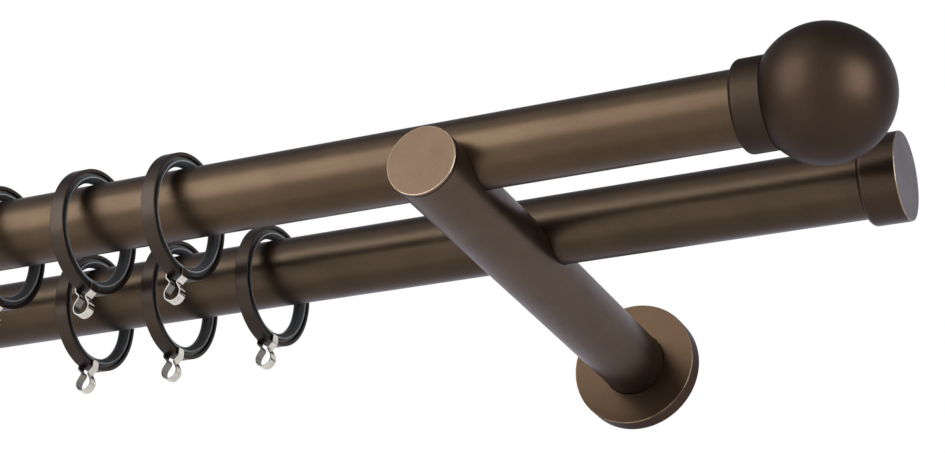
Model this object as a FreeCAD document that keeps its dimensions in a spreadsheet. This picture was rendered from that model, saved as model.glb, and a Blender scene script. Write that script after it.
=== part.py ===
import FreeCAD, Part
import math
import os

import Sketcher

# Double curtain pole, in millimetres. X runs along the poles, Y points into the wall, Z is up.
# The origin is on the wall, on the axis of the right-hand bracket's arm.

DRIVING_SIZES = [
    # the two poles: steel tube, the rear one running further at each end
    ("pole_diameter", 28),
    ("pole_wall", 1.5),
    ("front_pole_length", 1200),
    ("rear_pole_excess", 27),
    ("rear_pole_reach", 120),
    ("pole_spacing", 70),
    ("pole_overhang", 123),
    # the brackets: a wall plate with a boss, an arm of tube, its cap, and a rose that hides the plate
    ("arm_diameter", 28),
    ("arm_wall", 2.5),
    ("arm_overhang", 23),
    ("saddle_depth", 16),
    ("arm_cap_thickness", 1.6),
    ("arm_cap_spigot", 6),
    ("arm_screw_reach", 14),
    ("rose_diameter", 55),
    ("rose_thickness", 8),
    ("rose_front_wall", 2.5),
    ("rose_rim_wall", 3.1),
    ("plate_thickness", 3),
    ("boss_length", 19),
    ("wall_hole_diameter", 4.5),
    ("wall_hole_edge", 5),
    ("wall_hole_sink", 8.4),
    # the ball finials of the front pole and the flat end caps of the rear pole
    ("ball_diameter", 50),
    ("collar_wall", 2.85),
    ("collar_socket", 9.2),
    ("collar_end_wall", 2.5),
    ("collar_screw_place", 2.8),
    ("cap_wall", 2.85),
    ("cap_socket", 12),
    ("cap_end_wall", 3),
    ("cap_screw_place", 6),
    ("rim_land", 0.45),
    # screws
    ("grub_diameter", 4),
    ("arm_grub_length", 5),
    ("grub_socket_depth", 1.5),
    ("finial_screw_diameter", 6),
    ("finial_screw_grip", 12),
    ("finial_screw_head", 10),
    ("finial_screw_head_height", 3.3),
    # the rings: a metal band with a nylon liner snapped in, and a sprung clip bent from strip
    ("ring_play", 12),
    ("ring_width", 6),
    ("ring_band_thickness", 1.6),
    ("liner_wall", 3.85),
    ("liner_width", 5.8),
    ("liner_crown", 2),
    ("liner_land", 2.4),
    ("liner_groove_width", 1),
    ("liner_groove_depth", 1.05),
    ("front_ring_1_place", 116.5),
    ("front_ring_2_place", 159),
    ("front_ring_3_place", 204.5),
    ("rear_ring_1_place", 117),
    ("rear_ring_2_place", 163),
    ("rear_ring_3_place", 206.5),
    ("clip_width", 4),
    ("clip_thickness", 0.55),
    ("clip_eye", 7),
    ("clip_drop", 7.4),
    ("clip_neck", 3.26),
    ("clip_neck_bend", 1),
    ("clip_leg_bend", 0.9),
    ("clip_side_lean", 32),
    ("clip_flare_angle", 45),
    ("clip_tab_rise", 0.6),
    ("clip_tab_rounding", 1.1),
    ("clip_peg_diameter", 0.7),
    ("clip_peg_hole", 1),
    # clearances and broken edges
    ("saddle_clearance", 0.15),
    ("socket_clearance", 0.15),
    ("spigot_clearance", 0.1),
    ("rose_clearance", 0.2),
    ("plate_clearance", 0.4),
    ("thread_clearance", 0.05),
    ("liner_clearance", 0.05),
    ("ring_clearance", 0.3),
    ("clip_clearance", 0.3),
    ("peg_clearance", 0.05),
    ("rubbed_edge", 0.6),
    ("seam_edge", 0.25),
    ("ring_edge", 0.35),
]

RINGS_ON_EACH_POLE = 3
WALL_SCREWS = 3
SOCKET_SIDES = 6
SAME_POINT = 1e-6


class Size:
    """A size: its value now, and the expression that keeps it bound to the sheet."""

    def __init__(self, value, text):
        self.value = value
        self.text = text

    @staticmethod
    def of(other):
        return other if isinstance(other, Size) else Size(other, repr(other))

    def _joined(self, other, sign, value):
        return Size(value, "(%s %s %s)" % (self.text, sign, other.text))

    def __add__(self, other):
        other = Size.of(other)
        return self._joined(other, "+", self.value + other.value)

    def __sub__(self, other):
        other = Size.of(other)
        return self._joined(other, "-", self.value - other.value)

    def __mul__(self, other):
        other = Size.of(other)
        return self._joined(other, "*", self.value * other.value)

    def __truediv__(self, other):
        other = Size.of(other)
        return self._joined(other, "/", self.value / other.value)

    def __neg__(self):
        return Size(-self.value, "(-1 * %s)" % self.text)


def root(size):
    return Size(math.sqrt(size.value), "sqrt(%s)" % size.text)


def sine(angle):
    return Size(math.sin(math.radians(angle.value)), "sin(%s)" % angle.text)


def cosine(angle):
    return Size(math.cos(math.radians(angle.value)), "cos(%s)" % angle.text)


ZERO = Size(0.0, "0")
OVERRUN = Size(1.0, "1")

doc = FreeCAD.newDocument("double_curtain_pole")
sheet = doc.addObject("Spreadsheet::Sheet", "sizes")
given = {}
for row, (alias, number) in enumerate(DRIVING_SIZES, start=1):
    sheet.set("A%d" % row, alias)
    sheet.set("B%d" % row, str(number))
    sheet.setAlias("B%d" % row, alias)
    given[alias] = Size(float(number), "sizes.%s" % alias)
doc.recompute()

# the poles and the arms
pole_radius = given["pole_diameter"] / 2
arm_radius = given["arm_diameter"] / 2
arm_bore = arm_radius - given["arm_wall"]
pole_rise = arm_radius + pole_radius - given["saddle_depth"]
front_pole_reach = given["rear_pole_reach"] + given["pole_spacing"]
rear_pole_length = given["front_pole_length"] + given["rear_pole_excess"] * 2
arm_reach = front_pole_reach + given["arm_overhang"]
half_spacing = given["front_pole_length"] / 2 - given["pole_overhang"]

# the cups on the poles' ends, and the grub screws
cup_bore = pole_radius + given["socket_clearance"]
collar_radius = cup_bore + given["collar_wall"]
cap_radius = cup_bore + given["cap_wall"]
grub_radius = given["grub_diameter"] / 2
grub_hole = grub_radius + given["thread_clearance"]

# the rings, from the bore outwards
bore_radius = pole_radius + given["ring_play"] / 2
liner_radius = bore_radius + given["liner_wall"]
band_bore = liner_radius + given["liner_clearance"]
ring_radius = band_bore + given["ring_band_thickness"]
ring_half = given["ring_width"] / 2
liner_half = given["liner_width"] / 2
groove_radius = liner_radius - given["liner_groove_depth"]
liner_edge = bore_radius + given["liner_crown"]
peg_radius = given["clip_peg_diameter"] / 2
peg_place = groove_radius + peg_radius + given["peg_clearance"] * 2
groove_floor = liner_half - given["liner_groove_width"]
peg_hole_end = groove_floor - given["clip_peg_hole"]
ring_height = pole_rise + pole_radius + given["ring_clearance"] - bore_radius

ACROSS = FreeCAD.Rotation(FreeCAD.Vector(0, 1, 0), 90)
INTO_WALL = FreeCAD.Rotation(FreeCAD.Vector(1, 0, 0), -90)
OUT_OF_WALL = FreeCAD.Rotation(FreeCAD.Vector(1, 0, 0), 90)
UPRIGHT = FreeCAD.Rotation()
TURNED = FreeCAD.Rotation(FreeCAD.Vector(0, 1, 0), 180)


def bind(thing, path, size):
    """Sets one property of a thing to a size, and keeps it bound to the sheet."""
    thing.setExpression(path, size.text)


def put(thing, x=ZERO, y=ZERO, z=ZERO, turn=UPRIGHT):
    """Places a thing, with the place bound to the sheet."""
    thing.Placement = FreeCAD.Placement(FreeCAD.Vector(x.value, y.value, z.value), turn)
    for axis, size in (("x", x), ("y", y), ("z", z)):
        bind(thing, ".Placement.Base.%s" % axis, size)


def new_body(label):
    body = doc.addObject("PartDesign::Body", label)
    body.Label = label
    return body


def origin_feature(body, role):
    return next(f for f in body.Origin.OriginFeatures if f.Role == role)


def arc_about(centre, start, bulge, end):
    """An arc from start to end that bulges the given way. A sketch wants it anticlockwise."""
    out = start - centre
    if out.x * bulge[1] - out.y * bulge[0] < 0:
        start, end = end, start
    begin = math.atan2(start.y - centre.y, start.x - centre.x)
    stop = math.atan2(end.y - centre.y, end.x - centre.x)
    if stop <= begin:
        stop += 2 * math.pi
    circle = Part.Circle(centre, FreeCAD.Vector(0, 0, 1), out.Length)
    return Part.ArcOfCircle(circle, begin, stop)


def bound_sketch(body, name, role, sides, closed=True):
    """A sketch on one of the body's own planes. Each side is its start point, and for an arc also
    the way it bulges and its centre. Every corner is bound to the sheet."""
    sketch = body.newObject("Sketcher::SketchObject", name)
    sketch.AttachmentSupport = [(origin_feature(body, role), "")]
    sketch.MapMode = "FlatFace"
    corners = [FreeCAD.Vector(side[0].value, side[1].value, 0) for side in sides]
    count = len(sides) if closed else len(sides) - 1
    for i in range(count):
        start, end = corners[i], corners[(i + 1) % len(corners)]
        if len(sides[i]) == 2:
            sketch.addGeometry(Part.LineSegment(start, end), False)
        else:
            bulge, centre_x, centre_y = sides[i][2:]
            centre = FreeCAD.Vector(centre_x.value, centre_y.value, 0)
            sketch.addGeometry(arc_about(centre, start, bulge, end), False)
    for i in range(count):
        arc = len(sides[i]) > 2
        first = 1
        if arc and (sketch.Geometry[i].StartPoint - corners[i]).Length > SAME_POINT:
            first = 2
        after = sides[(i + 1) % len(sides)]
        pin_point(sketch, i, first, sides[i][0], sides[i][1])
        pin_point(sketch, i, 3 - first, after[0], after[1])
        if arc:
            chord = corners[(i + 1) % len(corners)] - corners[i]
            if abs(chord.x) > abs(chord.y):
                pin_one(sketch, "DistanceY", i, 3, sides[i][4])
            else:
                pin_one(sketch, "DistanceX", i, 3, sides[i][3])
    return sketch


def pin_one(sketch, kind, geometry, point, size):
    index = sketch.addConstraint(Sketcher.Constraint(kind, -1, 1, geometry, point, size.value))
    sketch.setExpression("Constraints[%d]" % index, size.text)


def pin_point(sketch, geometry, point, across, up):
    pin_one(sketch, "DistanceX", geometry, point, across)
    pin_one(sketch, "DistanceY", geometry, point, up)


def circle_sketch(body, name, role, circles):
    """Circles given as centre across, centre up and radius, each bound to the sheet."""
    sketch = body.newObject("Sketcher::SketchObject", name)
    sketch.AttachmentSupport = [(origin_feature(body, role), "")]
    sketch.MapMode = "FlatFace"
    for i, (across, up, radius) in enumerate(circles):
        centre = FreeCAD.Vector(across.value, up.value, 0)
        sketch.addGeometry(Part.Circle(centre, FreeCAD.Vector(0, 0, 1), radius.value), False)
        pin_point(sketch, i, 3, across, up)
        index = sketch.addConstraint(Sketcher.Constraint("Radius", i, radius.value))
        sketch.setExpression("Constraints[%d]" % index, radius.text)
    return sketch


def turned(body, name, role, axis, sides):
    """A piece turned on a lathe: the outline spun about the sketch's own axis."""
    revolution = body.newObject("PartDesign::Revolution", name)
    sketch = bound_sketch(body, name + "_outline", role, sides)
    revolution.Profile = sketch
    revolution.ReferenceAxis = (sketch, [axis])
    revolution.Angle = 360
    body.Tip = revolution
    return revolution


def drilled(body, name, radius, length, x, y, z, turn):
    """A round hole that starts at a point and runs the given length. Holes that break through a
    surface start or end past it by the overrun."""
    hole = body.newObject("PartDesign::SubtractiveCylinder", name)
    bind(hole, "Radius", radius)
    bind(hole, "Height", length)
    put(hole, x, y, z, turn)
    body.Tip = hole
    return hole


def hex_socket(body, name, across_flats, depth, x, y, z, turn):
    """A hexagon key socket that starts at a point and runs the given depth."""
    socket = body.newObject("PartDesign::SubtractivePrism", name)
    socket.Polygon = SOCKET_SIDES
    bind(socket, "Circumradius", across_flats / math.sqrt(3))
    bind(socket, "Height", depth)
    put(socket, x, y, z, turn)
    body.Tip = socket
    return socket


def make_pole(label, length, reach):
    """A straight tube, saw-cut square at both ends."""
    body = new_body(label)
    bore = pole_radius - given["pole_wall"]
    section = circle_sketch(body, label + "_section", "YZ_Plane",
                            [(ZERO, ZERO, pole_radius), (ZERO, ZERO, bore)])
    pad = body.newObject("PartDesign::Pad", label + "_tube")
    pad.Profile = section
    pad.SideType = "Symmetric"
    bind(pad, "Length", length)
    body.Tip = pad
    put(body, -half_spacing, -reach, pole_rise)
    return body


def make_wall_plate(label, place):
    """A steel disc screwed to the wall, with a boss that the arm slides over."""
    body = new_body(label)
    plate_radius = given["rose_diameter"] / 2 - given["rose_rim_wall"] - given["plate_clearance"]
    boss_radius = arm_bore - given["spigot_clearance"]
    thick = given["plate_thickness"]
    boss_end = thick + given["boss_length"]
    hole_circle = plate_radius - given["wall_hole_edge"]
    lead = given["rubbed_edge"]
    turned(body, label + "_blank", "XY_Plane", "V_Axis", [
        (ZERO, ZERO),
        (plate_radius, ZERO),
        (plate_radius, -thick),
        (boss_radius, -thick),
        (boss_radius, -boss_end + lead),
        (boss_radius - lead, -boss_end),
        (ZERO, -boss_end),
    ])
    hole_radius = given["wall_hole_diameter"] / 2
    sink_depth = (given["wall_hole_sink"] - given["wall_hole_diameter"]) / 2
    hole = drilled(body, label + "_hole", hole_radius, thick + OVERRUN * 2,
                   ZERO, OVERRUN, hole_circle, OUT_OF_WALL)
    around_the_boss(body, label + "_holes", hole)
    sink = body.newObject("PartDesign::SubtractiveCone", label + "_sink")
    bind(sink, "Radius1", given["wall_hole_sink"] / 2)
    bind(sink, "Radius2", hole_radius)
    bind(sink, "Height", sink_depth)
    put(sink, ZERO, -thick, hole_circle, INTO_WALL)
    around_the_boss(body, label + "_sinks", sink)
    drilled(body, label + "_screw_seat", grub_hole, arm_radius,
            ZERO, -given["arm_screw_reach"], arm_radius - given["arm_grub_length"], UPRIGHT)
    put(body, place)
    return body


def around_the_boss(body, name, feature):
    """Repeats a feature round the boss, once for each wall screw."""
    pattern = body.newObject("PartDesign::PolarPattern", name)
    pattern.Originals = [feature]
    pattern.Axis = (origin_feature(body, "Y_Axis"), [""])
    pattern.Angle = 360
    pattern.Occurrences = WALL_SCREWS
    body.Tip = pattern


def make_rose(label, place):
    """A turned cover that slides along the arm and hides the wall plate and its screws."""
    body = new_body(label)
    outer = given["rose_diameter"] / 2
    bore = arm_radius + given["rose_clearance"]
    cavity = outer - given["rose_rim_wall"]
    front = given["rose_thickness"]
    back_of_front_wall = front - given["rose_front_wall"]
    edge = given["rubbed_edge"]
    turned(body, label + "_shell", "XY_Plane", "V_Axis", [
        (bore, -front),
        (outer - edge, -front),
        (outer, -front + edge),
        (outer, ZERO),
        (cavity, ZERO),
        (cavity, -back_of_front_wall),
        (bore, -back_of_front_wall),
    ])
    put(body, place)
    return body


def make_arm(label, place):
    """A tube that stands out from the wall, with a saddle cut across its top for each pole."""
    body = new_body(label)
    start = given["plate_thickness"]
    end = arm_reach - given["arm_cap_thickness"]
    seam = given["seam_edge"]
    turned(body, label + "_tube", "XY_Plane", "V_Axis", [
        (arm_bore, -start),
        (arm_radius, -start),
        (arm_radius, -end + seam),
        (arm_radius - seam, -end),
        (arm_bore, -end),
    ])
    saddle_radius = pole_radius + given["saddle_clearance"]
    for name, reach in (("front", front_pole_reach), ("rear", given["rear_pole_reach"])):
        drilled(body, "%s_%s_saddle" % (label, name), saddle_radius, (arm_radius + OVERRUN) * 2,
                -arm_radius - OVERRUN, -reach, pole_rise, ACROSS)
    drilled(body, label + "_screw_hole", grub_hole, arm_radius,
            ZERO, -given["arm_screw_reach"], arm_bore / 2, UPRIGHT)
    put(body, place)
    return body


def make_arm_cap(label, place):
    """A turned disc with a spigot, pressed into the front end of the arm."""
    body = new_body(label)
    front = arm_reach
    back = front - given["arm_cap_thickness"]
    spigot_radius = arm_bore - given["spigot_clearance"]
    spigot_end = back - given["arm_cap_spigot"]
    seam = given["seam_edge"]
    edge = given["rubbed_edge"]
    turned(body, label + "_disc", "XY_Plane", "V_Axis", [
        (ZERO, -front),
        (arm_radius - edge, -front),
        (arm_radius, -front + edge),
        (arm_radius, -back - seam),
        (arm_radius - seam, -back),
        (spigot_radius, -back),
        (spigot_radius, -spigot_end - seam),
        (spigot_radius - seam, -spigot_end),
        (ZERO, -spigot_end),
    ])
    put(body, place)
    return body


def cup_sides(outer, socket_depth, end_wall, edge, hole):
    """The outline of a cup that slips over a pole's end, which is at the outline's origin. Its
    mouth is rounded nearly down to the bore, and its closed end has a hole, or none at zero."""
    mouth = -socket_depth
    rounding_centre = cup_bore + given["rim_land"]
    rounding = outer - rounding_centre
    return [
        (ZERO, cup_bore),
        (mouth, cup_bore),
        (mouth, rounding_centre, (-1, 1), mouth + rounding, rounding_centre),
        (mouth + rounding, outer),
        (end_wall - edge, outer),
        (end_wall, outer - edge),
        (end_wall, hole),
        (ZERO, hole),
    ]


def make_collar(label, place, turn):
    """The finial's collar: a cup over the pole's end, held by a grub screw on its wall side."""
    body = new_body(label)
    clear_hole = given["finial_screw_diameter"] / 2 + given["socket_clearance"]
    turned(body, label + "_cup", "XY_Plane", "H_Axis",
           cup_sides(collar_radius, given["collar_socket"], given["collar_end_wall"],
                     given["seam_edge"], clear_hole))
    drilled(body, label + "_screw_hole", grub_hole, given["collar_wall"] + OVERRUN * 2,
            -given["collar_screw_place"], cup_bore - OVERRUN, ZERO, INTO_WALL)
    put(body, place, -front_pole_reach, pole_rise, turn)
    return body


def make_ball(label, place, turn):
    """A ball with a flat that seats on the collar, tapped for the screw from inside the collar."""
    body = new_body(label)
    ball_radius = given["ball_diameter"] / 2
    flat_radius = collar_radius - given["seam_edge"]
    flat_to_centre = root(ball_radius * ball_radius - flat_radius * flat_radius)
    start = given["collar_end_wall"]
    centre = start + flat_to_centre
    tapped = given["finial_screw_diameter"] / 2 + given["thread_clearance"]
    hole_end = start + given["finial_screw_grip"] + OVERRUN
    turned(body, label + "_turning", "XY_Plane", "H_Axis", [
        (start, tapped),
        (start, flat_radius, (0, 1), centre, ZERO),
        (centre + ball_radius, ZERO),
        (hole_end, ZERO),
        (hole_end, tapped),
    ])
    put(body, place, -front_pole_reach, pole_rise, turn)
    return body


def make_end_cap(label, place, turn):
    """A flat-faced cup over the rear pole's end, held by a grub screw on its wall side."""
    body = new_body(label)
    turned(body, label + "_cup", "XY_Plane", "H_Axis",
           cup_sides(cap_radius, given["cap_socket"], given["cap_end_wall"],
                     given["rubbed_edge"], ZERO))
    drilled(body, label + "_screw_hole", grub_hole, given["cap_wall"] + OVERRUN * 2,
            -given["cap_screw_place"], cup_bore - OVERRUN, ZERO, INTO_WALL)
    put(body, place, -given["rear_pole_reach"], pole_rise, turn)
    return body


def make_grub_screw(name, length, x, y, z, turn):
    """A headless screw with a hexagon socket in its outer end. Its inner end is at the point given."""
    body = new_body(name)
    edge = given["seam_edge"]
    turned(body, name + "_blank", "XZ_Plane", "V_Axis", [
        (ZERO, ZERO),
        (grub_radius - edge, ZERO),
        (grub_radius, edge),
        (grub_radius, length - edge),
        (grub_radius - edge, length),
        (ZERO, length),
    ])
    hex_socket(body, name + "_socket", given["grub_diameter"] / 2, given["grub_socket_depth"],
               ZERO, ZERO, length - given["grub_socket_depth"], UPRIGHT)
    put(body, x, y, z, turn)
    return body


def make_finial_screw(name, x, turn):
    """A cap screw from inside the collar into the ball. The pole's bore surrounds its head."""
    body = new_body(name)
    shank = given["finial_screw_diameter"] / 2
    head = given["finial_screw_head"] / 2
    height = given["finial_screw_head_height"]
    end = given["collar_end_wall"] + given["finial_screw_grip"]
    edge = given["rubbed_edge"]
    turned(body, name + "_blank", "XY_Plane", "H_Axis", [
        (-height, ZERO),
        (-height, head - edge),
        (-height + edge, head),
        (ZERO, head),
        (ZERO, shank),
        (end - edge, shank),
        (end, shank - edge),
        (end, ZERO),
    ])
    hex_socket(body, name + "_socket", head, height / 2, -height, ZERO, ZERO, ACROSS)
    put(body, x, -front_pole_reach, pole_rise, turn)
    return body


def gathered(label, pieces):
    """Identical screws as one node of separate solids."""
    group = doc.addObject("Part::Compound", label)
    group.Label = label
    group.Links = pieces
    return group


def make_ring_band(label, x, reach):
    """The ring's metal band, a plain hoop with broken outer edges."""
    body = new_body(label)
    edge = given["ring_edge"]
    turned(body, label + "_hoop", "XY_Plane", "H_Axis", [
        (-ring_half, band_bore),
        (ring_half, band_bore),
        (ring_half, ring_radius - edge),
        (ring_half - edge, ring_radius),
        (-ring_half + edge, ring_radius),
        (-ring_half, ring_radius - edge),
    ])
    put(body, x, -reach, ring_height)
    return body


def make_ring_liner(label, x, reach):
    """The nylon liner that snaps into the band. Its bore is crowned, so that it glides. A groove
    parts it from the band on each side, and its floor has a small hole for the clip's peg."""
    body = new_body(label)
    land = given["liner_land"] / 2
    turned(body, label + "_hoop", "XY_Plane", "H_Axis", [
        (-liner_half, liner_edge),
        (-land, bore_radius),
        (land, bore_radius),
        (liner_half, liner_edge),
        (liner_half, groove_radius),
        (groove_floor, groove_radius),
        (groove_floor, liner_radius),
        (-groove_floor, liner_radius),
        (-groove_floor, groove_radius),
        (-liner_half, groove_radius),
    ])
    hole = peg_radius + given["peg_clearance"]
    drilled(body, label + "_peg_hole_right", hole, ring_half - peg_hole_end,
            peg_hole_end, ZERO, -peg_place, ACROSS)
    drilled(body, label + "_peg_hole_left", hole, ring_half - peg_hole_end,
            -ring_half, ZERO, -peg_place, ACROSS)
    put(body, x, -reach, ring_height)
    return body


def make_ring_clip(label, x, reach):
    """A strip bent into an eye with straight sides below a neck. Its short legs reach over the
    ring's sides, and a peg inside each tab passes through the groove and turns in its floor."""
    body = new_body(label)
    half_strip = given["clip_thickness"] / 2
    leg = ring_half + given["clip_clearance"] + half_strip
    eye = given["clip_eye"] / 2
    neck = given["clip_neck_bend"]
    bend = given["clip_leg_bend"]
    eye_height = -ring_radius - given["clip_drop"]
    neck_across = given["clip_neck"] / 2 + neck
    lean_out = sine(given["clip_side_lean"])
    lean_up = cosine(given["clip_side_lean"])
    side_foot = eye * lean_up
    side_foot_height = eye_height + eye * lean_out
    side_top = neck_across - neck * lean_up
    side_top_height = side_foot_height + (side_foot - side_top) * lean_up / lean_out
    neck_height = side_top_height + neck * lean_out
    out = cosine(given["clip_flare_angle"])
    up = sine(given["clip_flare_angle"])
    flare_across = neck_across - neck * up
    flare_height = neck_height + neck * out
    flare_end = leg - bend + bend * up
    flare_end_height = flare_height + (flare_end - flare_across) * up / out
    bend_height = flare_end_height + bend * out
    tab_top = given["clip_tab_rise"] - peg_place
    path = bound_sketch(body, label + "_bends", "XZ_Plane", [
        (leg, tab_top),
        (leg, bend_height, (2, -1), leg - bend, bend_height),
        (flare_end, flare_end_height),
        (flare_across, flare_height, (-1, 0), neck_across, neck_height),
        (side_top, side_top_height),
        (side_foot, side_foot_height, (0, -1), ZERO, eye_height),
        (-side_foot, side_foot_height),
        (-side_top, side_top_height, (1, 0), -neck_across, neck_height),
        (-flare_across, flare_height),
        (-flare_end, flare_end_height, (-2, -1), -leg + bend, bend_height),
        (-leg, bend_height),
        (-leg, tab_top),
    ], closed=False)
    half_width = given["clip_width"] / 2
    section = bound_sketch(body, label + "_strip", "XY_Plane", [
        (leg - half_strip, -half_width),
        (leg + half_strip, -half_width),
        (leg + half_strip, half_width),
        (leg - half_strip, half_width),
    ])
    section.AttachmentOffset = FreeCAD.Placement(FreeCAD.Vector(0, 0, tab_top.value), UPRIGHT)
    bind(section, ".AttachmentOffset.Base.z", tab_top)
    strip = body.newObject("PartDesign::AdditivePipe", label + "_bent")
    strip.Profile = section
    strip.Spine = (path, [])
    body.Tip = strip
    doc.recompute()
    tips = ["Edge%d" % (i + 1) for i, edge in enumerate(strip.Shape.Edges)
            if all(abs(v.Z - tab_top.value) < SAME_POINT for v in edge.Vertexes)
            and edge.BoundBox.YLength < SAME_POINT]
    rounding = body.newObject("PartDesign::Fillet", label + "_tabs")
    rounding.Base = (strip, tips)
    bind(rounding, "Radius", given["clip_tab_rounding"])
    body.Tip = rounding
    peg_end = peg_hole_end + given["clip_clearance"]
    for side, start in (("right", peg_end), ("left", -leg)):
        peg = body.newObject("PartDesign::AdditiveCylinder", "%s_peg_%s" % (label, side))
        bind(peg, "Radius", peg_radius)
        bind(peg, "Height", leg - peg_end)
        put(peg, start, ZERO, -peg_place, ACROSS)
        body.Tip = peg
    put(body, x, -reach, ring_height)
    return body


sub_parts = [
    make_pole("front_pole", given["front_pole_length"], front_pole_reach),
    make_pole("rear_pole", rear_pole_length, given["rear_pole_reach"]),
]

arm_screws = []
collar_screws = []
cap_screws = []
finial_screws = []
screw_gap = given["thread_clearance"]
arm_screw_foot = arm_radius - given["arm_grub_length"] + screw_gap
cup_screw_foot = pole_radius + screw_gap
arm_screw_length = given["arm_grub_length"] - screw_gap * 3
collar_screw_length = collar_radius - cup_screw_foot - screw_gap
cap_screw_length = cap_radius - cup_screw_foot - screw_gap
for side, sign, turn in (("right", 1, UPRIGHT), ("left", -1, TURNED)):
    at_bracket = half_spacing * (sign - 1)
    at_front_end = given["front_pole_length"] / 2 * sign - half_spacing
    at_rear_end = rear_pole_length / 2 * sign - half_spacing
    sub_parts += [
        make_wall_plate("wall_plate_" + side, at_bracket),
        make_rose("rose_" + side, at_bracket),
        make_arm("arm_" + side, at_bracket),
        make_arm_cap("arm_cap_" + side, at_bracket),
        make_collar("finial_collar_" + side, at_front_end, turn),
        make_ball("finial_ball_" + side, at_front_end, turn),
        make_end_cap("end_cap_" + side, at_rear_end, turn),
    ]
    arm_screws.append(make_grub_screw(
        "arm_grub_" + side, arm_screw_length,
        at_bracket, -given["arm_screw_reach"], arm_screw_foot, UPRIGHT))
    collar_screws.append(make_grub_screw(
        "collar_grub_" + side, collar_screw_length,
        at_front_end - given["collar_screw_place"] * sign,
        cup_screw_foot - front_pole_reach, pole_rise, INTO_WALL))
    cap_screws.append(make_grub_screw(
        "cap_grub_" + side, cap_screw_length,
        at_rear_end - given["cap_screw_place"] * sign,
        cup_screw_foot - given["rear_pole_reach"], pole_rise, INTO_WALL))
    finial_screws.append(make_finial_screw("finial_screw_" + side, at_front_end, turn))

sub_parts += [
    gathered("arm_grub_screws", arm_screws),
    gathered("collar_grub_screws", collar_screws),
    gathered("end_cap_grub_screws", cap_screws),
    gathered("finial_screws", finial_screws),
]

for pole, reach in (("front", front_pole_reach), ("rear", given["rear_pole_reach"])):
    for number in range(1, RINGS_ON_EACH_POLE + 1):
        place = -given["%s_ring_%d_place" % (pole, number)]
        name = "%s_ring_%%s_%d" % (pole, number)
        sub_parts += [
            make_ring_band(name % "band", place, reach),
            make_ring_liner(name % "liner", place, reach),
            make_ring_clip(name % "clip", place, reach),
        ]

doc.recompute()

faults = [thing.Name for thing in doc.Objects
          if "Invalid" in thing.State or "Error" in thing.State]
faults += [part.Label for part in sub_parts
           if part.Shape.isNull() or not part.Shape.isValid() or part.Shape.Volume <= 0]
if faults:
    raise RuntimeError("these did not build: " + ", ".join(faults))

os.makedirs("parts", exist_ok=True)
for part in sub_parts:
    part.Shape.exportStep(os.path.join("parts", part.Label + ".step"))
print(len(sub_parts), "sub-parts written")
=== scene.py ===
import math

import bmesh
import bpy
from mathutils import Euler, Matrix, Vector


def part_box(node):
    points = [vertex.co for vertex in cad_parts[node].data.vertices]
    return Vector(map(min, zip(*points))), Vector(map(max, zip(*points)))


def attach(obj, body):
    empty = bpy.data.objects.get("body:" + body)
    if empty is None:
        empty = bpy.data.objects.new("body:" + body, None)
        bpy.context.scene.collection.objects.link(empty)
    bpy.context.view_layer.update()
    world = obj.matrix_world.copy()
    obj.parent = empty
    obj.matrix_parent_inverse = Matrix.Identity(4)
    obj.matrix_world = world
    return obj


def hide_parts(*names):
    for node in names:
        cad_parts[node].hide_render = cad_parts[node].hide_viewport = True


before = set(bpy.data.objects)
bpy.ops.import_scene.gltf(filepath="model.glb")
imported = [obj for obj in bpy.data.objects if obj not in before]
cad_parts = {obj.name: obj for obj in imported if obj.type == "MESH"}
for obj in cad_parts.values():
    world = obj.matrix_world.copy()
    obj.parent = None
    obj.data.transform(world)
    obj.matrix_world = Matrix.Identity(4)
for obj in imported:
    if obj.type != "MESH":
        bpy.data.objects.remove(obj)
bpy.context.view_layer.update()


# Front pole
# A straight steel tube, 28 mm across, saw-cut square at both ends and lacquered in a satin dark
# bronze. It lies in the front saddles of the two arms, and its ends are hidden in the collars.
MM = 0.001
QUARTER_TURN = math.radians(90)
ALONG_POLE = Euler((0, QUARTER_TURN, 0))
OUT_OF_WALL = Euler((QUARTER_TURN, 0, 0))
POLE_WALL = 1.5 * MM
CUT_EDGE = 0.2 * MM
EDGE_STEPS = 2
CORNERS_ROUND = 144
NEAR = 0.02 * MM
SMOOTH_BELOW = math.radians(32)
FACE_CORNERS = 4


def pick(piece, kind, test):
    """Selects in edit mode the corners, edges or faces of a piece that pass a test."""
    bpy.ops.mesh.select_mode(type=kind)
    bpy.ops.mesh.select_all(action="DESELECT")
    mesh = bmesh.from_edit_mesh(piece.data)
    for item in {"VERT": mesh.verts, "EDGE": mesh.edges, "FACE": mesh.faces}[kind]:
        if test(item):
            item.select_set(True)
    mesh.select_flush_mode()
    bmesh.update_edit_mesh(piece.data)


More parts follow.
